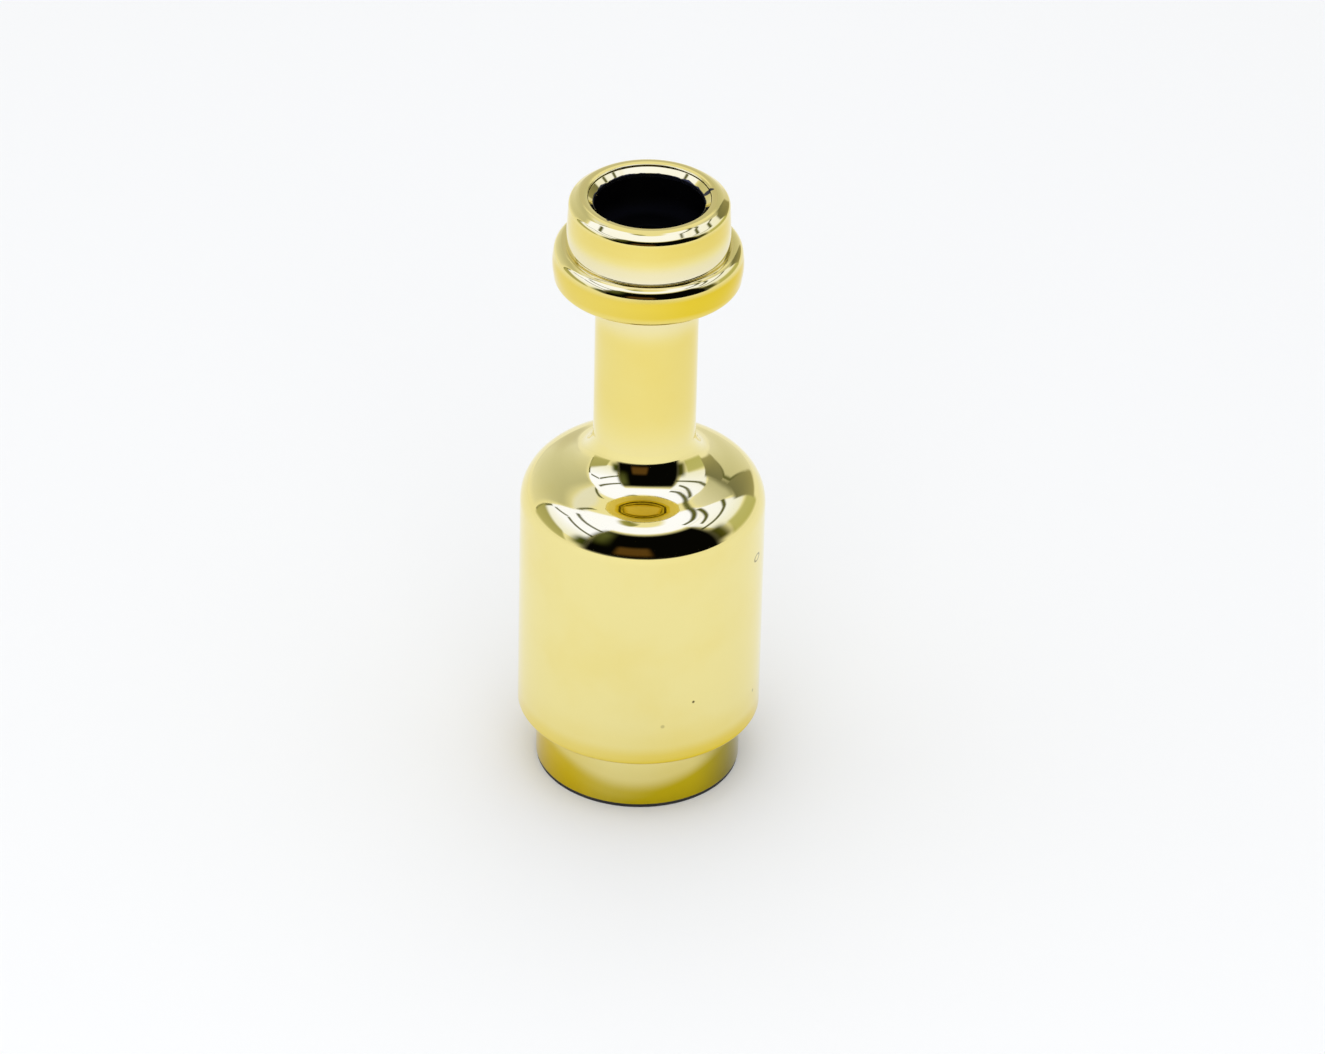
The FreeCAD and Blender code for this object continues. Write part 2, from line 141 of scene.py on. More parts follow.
def new_material(name):
    """A material with only its Principled shader: (material, nodes, shader)."""
    material = bpy.data.materials.new(name)
    material.use_nodes = True
    nodes = Nodes(material.node_tree)
    shader = material.node_tree.nodes["Principled BSDF"]
    return material, nodes, shader


def dress(node, material):
    """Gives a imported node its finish."""
    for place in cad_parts[node].material_slots:
        place.material = material


SKIN_GRAIN = skin_grain_group()


def nitrile_rubber():
    """Black rubber: satin, with mould grain and a little pale bloom in the clouds."""
    material, nodes, shader = new_material("nitrile_rubber")
    skin = nodes.add(
        "ShaderNodeGroup", {"Grain Scale": 3000.0, "Cloud Scale": 160.0}, node_tree=SKIN_GRAIN
    )
    black = (0.012, 0.012, 0.013, 1.0)
    bloom = (0.035, 0.034, 0.032, 1.0)
    bump = nodes.add(
        "ShaderNodeBump", {"Height": skin.outputs["Grain"], "Strength": 0.25, "Distance": 0.02 * MM}
    )
    nodes.fill(shader, {
        "Base Color": nodes.mix(nodes.ramp(skin.outputs["Clouds"], 0.45, 0.75), black, bloom),
        "Roughness": nodes.ramp(skin.outputs["Clouds"], 0.3, 0.7, 0.46, 0.62),
        "Specular IOR Level": 0.4,
        "Normal": bump.outputs["Normal"],
    })
    return material


RUBBER = nitrile_rubber()
# The foot ring's black stands in part for the contact shadow along the foot: painted shade in part.
dress("foot_ring", RUBBER)

# ---------------------------------------------------------------------------------------
# Base ring: the narrow foot, turned from brass bar, polished and gold plated.
# Its coarse threaded spigot screws up into the barrel; the mouthpipe enters from below.

AROUND = 180
ARC_STEP = math.radians(4.0)
RINGS_PER_PITCH = 14
GROOVE_HALF_WIDTH = 0.3
THREAD_FADE = 0.6
TOUCHING = 1e-4
SAME_POINT = 1e-5
COARSE_PITCH = 1.5
DEPTH_SHARE = 0.5
EDGE_BREAK = 0.25
SEAL_RECESS = 1.14
THREAD_RELIEF = 0.6
BASE_CREST = 14.0


def corner_arc(before, corner, after, rounding):
    """Rings (radius, height, normal) round an arc tangent to both sides of a corner."""
    corner = Vector(corner)
    inward = (Vector(before) - corner).normalized()
    onward = (Vector(after) - corner).normalized()
    half = inward.angle(onward) / 2
    centre = corner + (inward + onward).normalized() * (rounding / math.sin(half))
    first = corner + inward * (rounding / math.tan(half)) - centre
    turn = math.pi - 2 * half
    convex = inward.x * onward.y - inward.y * onward.x < 0
    steps = max(2, math.ceil(turn / ARC_STEP))
    rings = []
    for step in range(steps + 1):
        angle = turn * step / steps * (1 if convex else -1)
        arm = Matrix.Rotation(angle, 2) @ first
        normal = arm.normalized() * (1 if convex else -1)
        rings.append((centre.x + arm.x, centre.y + arm.y, normal.x, normal.y, 0.0))
    return rings


def straight_run(start, end, threads):
    """Rings along a straight side; a side that lies on a thread is cut into fine rings."""
    along = (Vector(end) - Vector(start)).normalized()
    normal = (along.y, -along.x)
    rings = [(*start, *normal, 0.0), (*end, *normal, 0.0)]
    for thread in threads:
        away = max(abs(start[0] - thread["radius"]), abs(end[0] - thread["radius"]))
        above_low = thread["low"] - TOUCHING < min(start[1], end[1])
        below_high = max(start[1], end[1]) < thread["high"] + TOUCHING
        if away < TOUCHING and above_low and below_high:
            count = math.ceil(abs(end[1] - start[1]) / thread["pitch"] * RINGS_PER_PITCH)
            heights = np.linspace(start[1], end[1], count + 1)
            rings = [(start[0], height, *normal, thread["pitch"]) for height in heights]
    return rings


def thread_groove(height, angle, low, high, pitch, female):
    """How deep a right-hand thread is cut at each place, as a share of the crest radius."""
    turns = height / pitch - angle / (2 * math.pi) + (0.5 if female else 0.0)
    from_middle = np.abs(turns - np.floor(turns) - 0.5)
    groove = np.clip(1 - from_middle / GROOVE_HALF_WIDTH, 0, 1)
    groove = 0.5 - 0.5 * np.cos(np.pi * groove)
    fade = np.clip(np.minimum(height - low, high - height) / (THREAD_FADE * pitch), 0, 1)
    return groove * fade * pitch * DEPTH_SHARE


def turned(name, outline, threads=()):
    """A lathe-turned piece: a closed (radius, height[, rounding]) outline in millimetres.

    The outline runs up the outside and down the inside. Each thread is a dict of the crest
    radius, the low and high ends and the pitch, cut as a helix into the side it lies on.
    """
    corners = []
    for index, point in enumerate(outline):
        before = outline[index - 1][:2]
        after = outline[(index + 1) % len(outline)][:2]
        if len(point) > 2:
            corners.append(corner_arc(before, point[:2], after, point[2]))
        else:
            corners.append([(point[0], point[1], 0.0, 0.0, 0.0)])
    runs = []
    for index, corner in enumerate(corners):
        following = corners[(index + 1) % len(corners)]
        if len(corner) > 1:
            runs.append(corner)
        start = corner[-1][:2]
        end = following[0][:2]
        if math.dist(start, end) > SAME_POINT:
            runs.append(straight_run(start, end, threads))

    angles = np.arange(AROUND) * 2 * math.pi / AROUND
    positions = []
    faces = []
    normals = []
    ring_count = sum(len(run) - 1 for run in runs)
    ring = 0
    for run in runs:
        surface = [ring_shape(line, angles, threads) for line in run]
        for step in range(len(run) - 1):
            positions.append(surface[step][0])
            upper = (ring + 1) % ring_count
            for seg in range(AROUND):
                side = (seg + 1) % AROUND
                faces.append((
                    ring * AROUND + seg, ring * AROUND + side,
                    upper * AROUND + side, upper * AROUND + seg,
                ))
            low, high = surface[step][1], surface[step + 1][1]
            beside_low, beside_high = np.roll(low, -1, axis=0), np.roll(high, -1, axis=0)
            normals.append(np.stack([low, beside_low, beside_high, high], axis=1).reshape(-1, 3))
            ring += 1
    mesh = bpy.data.meshes.new(name)
    mesh.from_pydata(np.concatenate(positions) * MM, [], faces)
    mesh.polygons.foreach_set("use_smooth", [True] * len(mesh.polygons))
    mesh.normals_split_custom_set(np.concatenate(normals))
    piece = bpy.data.objects.new(name, mesh)
    bpy.context.scene.collection.objects.link(piece)
    return piece


def ring_shape(line, angles, threads):
    """Places and normals of one ring of a turned piece, with its thread cut."""
    radius, height, normal_r, normal_z, pitch = line
    cos, sin = np.cos(angles), np.sin(angles)
    radii = np.full(AROUND, radius)
    tilt_r, tilt_z = np.full(AROUND, normal_r), np.full(AROUND, normal_z)
    tilt_round = np.zeros(AROUND)
    for thread in threads:
        low, high = thread["low"], thread["high"]
        at_crest = abs(radius - thread["radius"]) < TOUCHING
        if pitch and at_crest and low - TOUCHING <= height <= high + TOUCHING:
            female = normal_r < 0
            away = 1 if female else -1
            step = 0.001

            def cut(dz=0.0, dturn=0.0):
                return radius + away * thread_groove(
                    height + dz, angles + dturn, low, high, pitch, female
                )

            radii = cut()
            tilt_z = -normal_r * (cut(dz=step) - cut(dz=-step)) / (2 * step)
            tilt_round = -normal_r * (cut(dturn=step) - cut(dturn=-step)) / (2 * step) / radius
    places = np.stack([radii * cos, radii * sin, np.full(AROUND, height)], axis=1)
    normals = np.stack(
        [tilt_r * cos - tilt_round * sin, tilt_r * sin + tilt_round * cos, tilt_z], axis=1
    )
    return places, normals / np.linalg.norm(normals, axis=1, keepdims=True)


def finish_piece(piece, material, body, node):
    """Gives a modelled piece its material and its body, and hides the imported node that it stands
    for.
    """
    piece.data.materials.append(material)
    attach(piece, body)
    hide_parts(node)


def turning_marks_group():
    """Fine rings left by turning and polishing, the same on walls and on flat faces."""
    group, nodes, inlet, outlet = effect_group(
        "turning_marks", {"Ring Scale": 9000.0}, ["Rings", "Streaks"]
    )
    sideways, _, height = nodes.split_place()
    radius = nodes.radius()
    outcomes = {"Rings": (inlet.outputs["Ring Scale"], 150.0), "Streaks": (450.0, 60.0)}
    for label, (ring_scale, round_scale) in outcomes.items():
        rings = nodes.add("ShaderNodeCombineXYZ", {
            "X": nodes.math("MULTIPLY", radius, ring_scale),
            "Y": nodes.math("MULTIPLY", height, ring_scale),
            "Z": nodes.math("MULTIPLY", sideways, round_scale),
        })
        noise = nodes.add(
            "ShaderNodeTexNoise", {"Vector": rings.outputs[0], "Scale": 1.0, "Detail": 2.0}
        )
        nodes.tree.links.new(noise.outputs["Fac"], outlet.inputs[label])
    return group


def pits_group():
    """Sparse tiny pits in the plating: a mask of dark dots."""
    group, nodes, inlet, outlet = effect_group(
        "plating_pits", {"Spacing Scale": 170.0, "Rarity": 0.97, "Pit Size": 0.035}, ["Pits"]
    )
    cells = nodes.add("ShaderNodeTexVoronoi", {
        "Vector": nodes.place(), "Scale": inlet.outputs["Spacing Scale"],
    })
    chance = nodes.add("ShaderNodeSeparateColor", {"Color": cells.outputs["Color"]}).outputs["Red"]
    chosen = nodes.math("GREATER_THAN", chance, inlet.outputs["Rarity"])
    edge = nodes.math("MULTIPLY", inlet.outputs["Pit Size"], 0.6)
    near = nodes.add("ShaderNodeMapRange", {
        "Value": cells.outputs["Distance"], "From Min": edge,
        "From Max": inlet.outputs["Pit Size"], "To Min": 1.0, "To Max": 0.0,
    }).outputs["Result"]
    nodes.tree.links.new(nodes.math("MULTIPLY", chosen, near), outlet.inputs["Pits"])
    return group


TURNING_MARKS = turning_marks_group()
PLATING_PITS = pits_group()
PALE_GOLD = (0.89, 0.785, 0.335, 1.0)
WARM_GOLD = (0.88, 0.755, 0.285, 1.0)
# Painted reflection colours: a deep yellow where the gold mirrors shade and the gold beside it, and
# a paler gold where it mirrors bright surroundings.
DEEP_PAINTED_REFLECTION = (0.80, 0.60, 0.04, 1.0)
PALE_PAINTED_REFLECTION = (0.87, 0.81, 0.58, 1.0)


def painted_reflection_share(nodes, painted_levels, climb=0.0):
    """Share of the painted reflection tint at each height, from (height in mm, share) pairs.

    With a climb it reaches higher to the left and right than in front.
    """
    sideways, _, height = nodes.split_place()
    if climb:
        squared = nodes.math("MULTIPLY", sideways, sideways)
        height = nodes.math("SUBTRACT", height, nodes.math("MULTIPLY", climb, squared))
    low, high = painted_levels[0][0], painted_levels[-1][0]
    share = nodes.add("ShaderNodeMapRange", {
        "Value": height, "From Min": low * MM, "From Max": high * MM,
    }).outputs["Result"]
    ramp = nodes.add("ShaderNodeValToRGB", {"Fac": share})
    ramp.color_ramp.interpolation = "EASE"
    stops = ramp.color_ramp.elements
    while len(stops) < len(painted_levels):
        stops.new(0.5)
    for stop, (level, painted_share) in zip(stops, painted_levels):
        stop.position = (level - low) / (high - low)
        stop.color = (painted_share, painted_share, painted_share, 1.0)
    return ramp.outputs["Color"]


def gold_plate(name, painted_levels, reflection_colour=DEEP_PAINTED_REFLECTION, pale_reflection_levels=(), climb=0.0):
    """Polished lemon gold over brass: uneven plating, faint polishing rings, a few pits.

    The faces that look down are satin, because the polishing wheel doesn't reach them. A painted
    reflection tint by height deepens the yellow where the gold mirrors the shaded table and the
    gold beside it, and it is stronger on the right than on the left. Where pale heights are given,
    a paler painted reflection tint lightens the gold by height.
    """
    material, nodes, shader = new_material(name)
    skin = nodes.add(
        "ShaderNodeGroup", {"Grain Scale": 420.0, "Cloud Scale": 70.0}, node_tree=SKIN_GRAIN
    )
    marks = nodes.add("ShaderNodeGroup", node_tree=TURNING_MARKS)
    pits = nodes.add("ShaderNodeGroup", node_tree=PLATING_PITS).outputs["Pits"]
    facing = nodes.add("ShaderNodeTexCoord").outputs["Normal"]
    facing_up = nodes.add("ShaderNodeSeparateXYZ", {"Vector": facing}).outputs["Z"]
    underside = nodes.ramp(facing_up, -0.97, -0.9, 1.0, 0.0)
    plating = nodes.mix(nodes.ramp(skin.outputs["Clouds"], 0.42, 0.78), PALE_GOLD, WARM_GOLD)
    # Painted reflection: a paler gold by height.
    if pale_reflection_levels:
        plating = nodes.mix(painted_reflection_share(nodes, pale_reflection_levels), plating, PALE_PAINTED_REFLECTION)
    sideways = nodes.split_place()[0]
    # Painted reflection shade: the tint grows from the left side to the right side.
    run = nodes.ramp(sideways, -16.0 * MM, 16.0 * MM, 0.75, 1.3)
    painted_share = nodes.math("MULTIPLY", painted_reflection_share(nodes, painted_levels, climb), run, clamp=True)
    reflection_tinted = nodes.mix(painted_share, plating, reflection_colour)
    pit_brown = (0.10, 0.075, 0.02, 1.0)
    polished = nodes.ramp(marks.outputs["Streaks"], 0.3, 0.75, 0.03, 0.07)
    roughness = nodes.math("ADD", polished, nodes.math("MULTIPLY", pits, 0.4))
    satin = nodes.math("MULTIPLY", underside, 0.42)
    swell = nodes.add("ShaderNodeBump", {
        "Height": skin.outputs["Clouds"], "Strength": 0.35, "Distance": 0.02 * MM,
    })
    fine_rings = nodes.math("MULTIPLY", marks.outputs["Rings"], 0.05)
    polish = nodes.add("ShaderNodeBump", {
        "Height": nodes.math("SUBTRACT", fine_rings, pits),
        "Strength": 0.3, "Distance": 0.02 * MM, "Normal": swell.outputs["Normal"],
    })
    nodes.fill(shader, {
        "Base Color": nodes.mix(pits, reflection_tinted, pit_brown),
        "Metallic": 1.0,
        "Roughness": nodes.math("ADD", roughness, satin),
        "Normal": polish.outputs["Normal"],
    })
    return material, nodes, shader


def coat(nodes, shader, share, colour):
    """Lays another colour over the metal, where the share is 1."""
    metal = shader.inputs["Base Color"].links[0].from_socket
    nodes.fill(shader, {"Base Color": nodes.mix(share, metal, colour)})


def thread_on(radius, low, high, pitch):
    return {"radius": radius, "low": low, "high": high, "pitch": pitch}


def make_base_ring():
    """The foot with its threaded spigot, and the stepped bore for the bush and the tube."""
    low_corner, high_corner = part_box("base_ring")
    bottom, top, radius = low_corner.z / MM, high_corner.z / MM, high_corner.x / MM
    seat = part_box("body_shell")[0].z / MM
    rib_middle, rib_half, rib_top = 13.0, 0.7, bottom + 1.3
    bush_bore, clip_groove, clip_low, clip_high = 8.3, 9.05, bottom + 0.6, bottom + 1.6
    shelf, tube_bore = 14.0, 5.7
    outline = [
        (bush_bore, bottom),
        (rib_middle - rib_half, bottom),
        (rib_middle - rib_half, rib_top),
        (rib_middle + rib_half, rib_top),
        (rib_middle + rib_half, bottom),
        (radius, bottom, EDGE_BREAK),
        (radius, seat),
        (BASE_CREST, seat),
        (BASE_CREST, seat + SEAL_RECESS),
        (BASE_CREST, top - THREAD_RELIEF),
        (BASE_CREST - COARSE_PITCH * DEPTH_SHARE, top),
        (tube_bore, top, EDGE_BREAK),
        (tube_bore, shelf),
        (bush_bore, shelf),
        (bush_bore, clip_high),
        (clip_groove, clip_high),
        (clip_groove, clip_low),
        (bush_bore, clip_low),
    ]
    threads = [thread_on(BASE_CREST, seat + SEAL_RECESS, top - THREAD_RELIEF, COARSE_PITCH)]
    return turned("base_ring_turned", outline, threads)


# Painted reflection shade on the foot, where it mirrors the shaded table: olive low down, richer
# yellow on the left, dark on the right.
FOOT_SHADE_LEVELS = [(0.5, 1.0), (2.4, 0.9), (5.4, 0.2), (10.0, 0.0)]
FOOT_CLIMB = 18.0
OLIVE_PAINTED_SHADE = (0.58, 0.45, 0.01, 1.0)
LEFT_PAINTED_REFLECTION = (0.66, 0.48, 0.006, 1.0)
RIGHT_PAINTED_SHADE = (0.27, 0.22, 0.008, 1.0)


def base_gold():
    """The same gold, with painted reflection shade: olive low on the foot, a richer yellow on its
    left and dark on its right.
    """
    material, nodes, shader = gold_plate(
        "gold_plate_base", FOOT_SHADE_LEVELS, OLIVE_PAINTED_SHADE, climb=FOOT_CLIMB
    )
    sideways = nodes.split_place()[0]
    painted_share = painted_reflection_share(nodes, FOOT_SHADE_LEVELS, FOOT_CLIMB)
    left = nodes.ramp(sideways, -11.0 * MM, -3.0 * MM, 1.0, 0.0)
    coat(nodes, shader, nodes.math("MULTIPLY", painted_share, left), LEFT_PAINTED_REFLECTION)
    coat(nodes, shader, nodes.ramp(sideways, 8.0 * MM, 15.4 * MM, 0.0, 0.85), RIGHT_PAINTED_SHADE)
    return material


finish_piece(make_base_ring(), base_gold(), "base", "base_ring")

# ---------------------------------------------------------------------------------------
# Receiver bush: a sleeve of natural nylon, turned, held up in the base's bore. It guides
# the instrument's mouthpipe, and its inner groove holds the O-ring that grips the pipe.


def natural_nylon():
    """Ivory nylon: waxy and slightly see-through, with turning rings."""
    material, nodes, shader = new_material("natural_nylon")
    skin = nodes.add("ShaderNodeGroup", node_tree=SKIN_GRAIN)
    marks = nodes.add("ShaderNodeGroup", {"Ring Scale": 5000.0}, node_tree=TURNING_MARKS)
    ivory = (0.80, 0.76, 0.66, 1.0)
    shade = (0.70, 0.65, 0.53, 1.0)
    bump = nodes.add(
        "ShaderNodeBump", {"Height": marks.outputs["Rings"], "Strength": 0.4, "Distance": 0.03 * MM}
    )
    nodes.fill(shader, {
        "Base Color": nodes.mix(nodes.ramp(skin.outputs["Clouds"], 0.4, 0.75), ivory, shade),
        "Roughness": nodes.ramp(marks.outputs["Streaks"], 0.3, 0.7, 0.36, 0.5),
        "Subsurface Weight": 0.15,
        "Subsurface Scale": 1.0 * MM,
        "Normal": bump.outputs["Normal"],
    })
    return material


dress("receiver_bush", natural_nylon())

# ---------------------------------------------------------------------------------------
# Retaining clip: an open ring stamped from spring steel and blued, with a plier hole in
# each ear. It snaps into the groove under the bush.


def blued_spring_steel():
    """Dark blued steel with a brighter rub where the edges and pliers touched it."""
    material, nodes, shader = new_material("blued_spring_steel")
    skin = nodes.add(
        "ShaderNodeGroup", {"Grain Scale": 1800.0, "Cloud Scale": 300.0}, node_tree=SKIN_GRAIN
    )
    blue_black = (0.075, 0.080, 0.095, 1.0)
    bare = (0.36, 0.35, 0.34, 1.0)
    bump = nodes.add(
        "ShaderNodeBump", {"Height": skin.outputs["Grain"], "Strength": 0.2, "Distance": 0.02 * MM}
    )
    nodes.fill(shader, {
        "Base Color": nodes.mix(nodes.ramp(skin.outputs["Clouds"], 0.55, 0.75), blue_black, bare),
        "Metallic": 1.0,
        "Roughness": nodes.ramp(skin.outputs["Clouds"], 0.3, 0.7, 0.42, 0.3),
        "Normal": bump.outputs["Normal"],
    })
    return material


dress("retaining_clip", blued_spring_steel())

# ---------------------------------------------------------------------------------------
# O-rings: six moulded rings of black nitrile rubber with a 0.9 mm section. Four sit in
# recesses at the roots of the screw joints, and two in grooves, round the backbore tube's
# end and inside the bush.

for ring_name in ("receiver_seal", "base_seal", "tube_seal", "neck_seal", "cup_seal", "rim_seal"):
    dress(ring_name, RUBBER)

# ---------------------------------------------------------------------------------------
# Body shell: the heavy barrel, bored hollow from below, with a rounded shoulder that runs
# in one sweep up into the throat. Brass, mirror polished and gold plated.

NECK_CREST = 5.7
FINE_PITCH = 1.0
THREAD_CLEARANCE = 0.08
SEAL_POCKET_WIDTH = 1.14


def make_body_shell():
    low_corner, high_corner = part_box("body_shell")
    bottom, top, radius = low_corner.z / MM, high_corner.z / MM, high_corner.x / MM
    neck_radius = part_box("neck_tube")[1].x / MM
    spigot_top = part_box("base_ring")[1].z / MM
    tenon_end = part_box("neck_tube")[0].z / MM
    shoulder_rounding, crest_rounding, throat_rounding = 6.3, 12.0, 5.9
    steep, shallow = math.radians(30.0), math.radians(20.0)
    lower_rounding, wall, cavity_rounding, hub = 0.5, 2.5, 3.5, 10.8
    bend, easing = (math.pi / 2 - steep) / 2, (steep - shallow) / 2
    outer_run = shoulder_rounding * math.tan(bend) + crest_rounding * math.tan(easing)
    inner_run = throat_rounding * math.tan(bend) + crest_rounding * math.tan(easing)
    width = radius - neck_radius - (outer_run + inner_run) * math.cos(steep)
    throat = Vector((neck_radius, top - throat_rounding * math.tan(bend)))
    inner = throat + Vector((math.cos(steep), -math.sin(steep))) * inner_run
    outer = inner + Vector((width, -width * math.tan(shallow)))
    shoulder = outer + Vector((math.cos(steep), -math.sin(steep))) * outer_run
    lower_minor, upper_minor = BASE_CREST + THREAD_CLEARANCE, NECK_CREST + THREAD_CLEARANCE
    lower_pocket, upper_pocket = BASE_CREST + SEAL_POCKET_WIDTH, NECK_CREST + SEAL_POCKET_WIDTH
    cavity, roof = radius - wall, top - hub
    thread_top = spigot_top + 0.3
    outline = [
        (lower_pocket, bottom),
        (radius, bottom, lower_rounding),
        (*shoulder, shoulder_rounding),
        (*outer, crest_rounding),
        (*inner, crest_rounding),
        (*throat, throat_rounding),
        (neck_radius, top),
        (upper_pocket, top),
        (upper_pocket, top - SEAL_RECESS),
        (upper_minor, top - SEAL_RECESS),
        (upper_minor, tenon_end),
        (upper_minor, roof),
        (cavity, roof, cavity_rounding),
        (cavity, thread_top + cavity - lower_minor),
        (lower_minor, thread_top),
        (lower_minor, bottom + SEAL_RECESS),
        (lower_pocket, bottom + SEAL_RECESS),
    ]
    threads = [
        thread_on(upper_minor, tenon_end, top - SEAL_RECESS, FINE_PITCH),
        thread_on(lower_minor, bottom + SEAL_RECESS, thread_top, COARSE_PITCH),
    ]
    return turned("body_shell_turned", outline, threads)


def blemish(nodes, centre, half_size, ragged=0.0):
    """Distance from a small mark's centre in half sizes, all in mm: 1 at its edge."""
    offset = nodes.vector("SUBTRACT", nodes.place(), [value * MM for value in centre])
    stretched = nodes.vector("DIVIDE", offset, [value * MM for value in half_size])
    return nodes.math("ADD", nodes.vector("LENGTH", stretched), ragged)


PITS = [  # centre and half width in mm, and how dark
    ((8.4, -16.5, 20.6), 0.28, 0.95),
    ((3.84, -18.1, 17.0), 0.4, 0.3),
    ((17.4, -6.3, 15.9), 0.35, 0.5),
]
BLISTER = ((17.4, -6.3, 40.3), (0.7, 1.2, 0.62))
MARK_BROWN = (0.08, 0.065, 0.02, 1.0)


def barrel_gold():
    """The same gold, with three small pits and one blister in the plating."""
    # Painted reflection shade: the yellow deepens towards the barrel's foot, where it mirrors the
    # shaded table.
    material, nodes, shader = gold_plate(
        "gold_plate_barrel", [(10.0, 0.9), (11.2, 0.6), (13.5, 0.14), (18.0, 0.0), (58.6, 0.0)]
    )
    marks = 0.0
    for centre, size, strength in PITS:
        dot = nodes.ramp(blemish(nodes, centre, (size, size, size)), 0.5, 1.0, strength, 0.0)
        marks = nodes.math("MAXIMUM", marks, dot)
    blister = blemish(nodes, *BLISTER)
    inside, outside = nodes.ramp(blister, 0.55, 0.8), nodes.ramp(blister, 0.9, 1.15, 0.75, 0.0)
    marks = nodes.math("MAXIMUM", marks, nodes.math("MULTIPLY", inside, outside))
    coat(nodes, shader, marks, MARK_BROWN)
    return material


finish_piece(make_body_shell(), barrel_gold(), "body", "body_shell")

# ---------------------------------------------------------------------------------------
# Backbore tube: a tapered brass air tube, soldered up into the barrel's hub. Nobody sees
# it in use, so it is gold flashed over a plain turned surface and never buffed.


def turned_brass():
    """Gold flash over lathe marks: the same colour as the outside, but satin."""
    material, nodes, shader = new_material("turned_brass")
    marks = nodes.add("ShaderNodeGroup", {"Ring Scale": 6000.0}, node_tree=TURNING_MARKS)
    bump = nodes.add(
        "ShaderNodeBump", {"Height": marks.outputs["Rings"], "Strength": 0.6, "Distance": 0.02 * MM}
    )
    nodes.fill(shader, {
        "Base Color": nodes.mix(
            nodes.ramp(marks.outputs["Streaks"], 0.35, 0.7), PALE_GOLD, WARM_GOLD
        ),
        "Metallic": 1.0,
        "Roughness": nodes.ramp(marks.outputs["Streaks"], 0.3, 0.7, 0.2, 0.34),
        "Normal": bump.outputs["Normal"],
    })
    return material


dress("backbore_tube", turned_brass())

# ---------------------------------------------------------------------------------------
# Neck tube: a plain tube turned from brass and gold plated, with a fine threaded tenon at
# each end. The lower one screws into the barrel's throat, the upper one into the collar.

CUP_CREST = 5.8


def make_neck_tube():
    low_corner, high_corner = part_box("neck_tube")
    bottom, top, radius = low_corner.z / MM, high_corner.z / MM, high_corner.x / MM
    lower_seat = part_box("body_shell")[1].z / MM
    upper_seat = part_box("cup_housing")[0].z / MM
    stem_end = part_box("cup_insert")[0].z / MM - 0.3
    stem_bore, bore_top, bore_bottom = 4.5, 2.7, 3.3
    fine_depth = FINE_PITCH * DEPTH_SHARE
    outline = [
        (bore_bottom, bottom),
        (NECK_CREST - fine_depth, bottom),
        (NECK_CREST, bottom + THREAD_RELIEF),
        (NECK_CREST, lower_seat - SEAL_RECESS),
        (NECK_CREST, lower_seat),
        (radius, lower_seat),
        (radius, upper_seat),
        (CUP_CREST, upper_seat),
        (CUP_CREST, upper_seat + SEAL_RECESS),
        (CUP_CREST, top - THREAD_RELIEF),
        (CUP_CREST - fine_depth, top),
        (stem_bore, top),
        (stem_bore, stem_end),
        (bore_top, stem_end),
    ]
    threads = [
        thread_on(NECK_CREST, bottom + THREAD_RELIEF, lower_seat - SEAL_RECESS, FINE_PITCH),
        thread_on(CUP_CREST, upper_seat + SEAL_RECESS, top - THREAD_RELIEF, FINE_PITCH),
    ]
    return turned("neck_tube_turned", outline, threads)


# Painted shadow: the dark line where the neck meets the collar.
PAINTED_JOINT_SHADOW = (0.045, 0.035, 0.003, 1.0)


def neck_gold():
    """The same gold, with painted reflection tints by height and a thin painted shadow line at the
    top, where the collar meets it.
    """
    material, nodes, shader = gold_plate(
        "gold_plate_neck",
        [(58.6, 0.05), (66.0, 0.3), (77.0, 0.35), (81.0, 0.1), (85.1, 0.0)],
        pale_reflection_levels=[(58.6, 0.1), (62.0, 0.0), (78.0, 0.0), (82.0, 0.55), (85.1, 0.75)],
    )
    # Painted shadow line at the top of the neck.
    height = nodes.split_place()[2]
    above = nodes.ramp(height, 84.7 * MM, 84.85 * MM)
    below = nodes.ramp(height, 85.3 * MM, 85.32 * MM, 1.0, 0.0)
    coat(nodes, shader, nodes.math("MULTIPLY", above, below), PAINTED_JOINT_SHADOW)
    return material


finish_piece(make_neck_tube(), neck_gold(), "neck", "neck_tube")

# ---------------------------------------------------------------------------------------
# Cup housing: the round collar. It screws on the neck from above, holds the cup insert in
# its bore, and carries the rim on a fine threaded spigot. Gold-plated brass.

RIM_CREST = 10.4


def make_cup_housing():
    low_corner, high_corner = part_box("cup_housing")
    bottom, top, radius = low_corner.z / MM, high_corner.z / MM, high_corner.x / MM
    collar_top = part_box("rim")[0].z / MM
    lower_rounding, bulge_rounding, upper_rounding = 1.0, 8.0, 1.5
    minor, pocket = CUP_CREST + THREAD_CLEARANCE, CUP_CREST + SEAL_POCKET_WIDTH
    insert_bore, stem_bore = 9.15, 4.5
    web_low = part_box("neck_tube")[1].z / MM + 0.3
    insert_seat = web_low + 1.9
    outline = [
        (pocket, bottom),
        (radius - 0.35, bottom, lower_rounding),
        (radius + 0.05, (bottom + collar_top) / 2, bulge_rounding),
        (radius - 0.4, collar_top, upper_rounding),
        (RIM_CREST, collar_top),
        (RIM_CREST, collar_top + SEAL_RECESS),
        (RIM_CREST, top - THREAD_RELIEF),
        (RIM_CREST - FINE_PITCH * DEPTH_SHARE, top),
        (insert_bore, top),
        (insert_bore, insert_seat),
        (stem_bore, insert_seat),
        (stem_bore, web_low),
        (minor, web_low),
        (minor, bottom + SEAL_RECESS),
        (pocket, bottom + SEAL_RECESS),
    ]
    threads = [
        thread_on(RIM_CREST, collar_top + SEAL_RECESS, top - THREAD_RELIEF, FINE_PITCH),
        thread_on(minor, bottom + SEAL_RECESS, web_low, FINE_PITCH),
    ]
    return turned("cup_housing_turned", outline, threads)


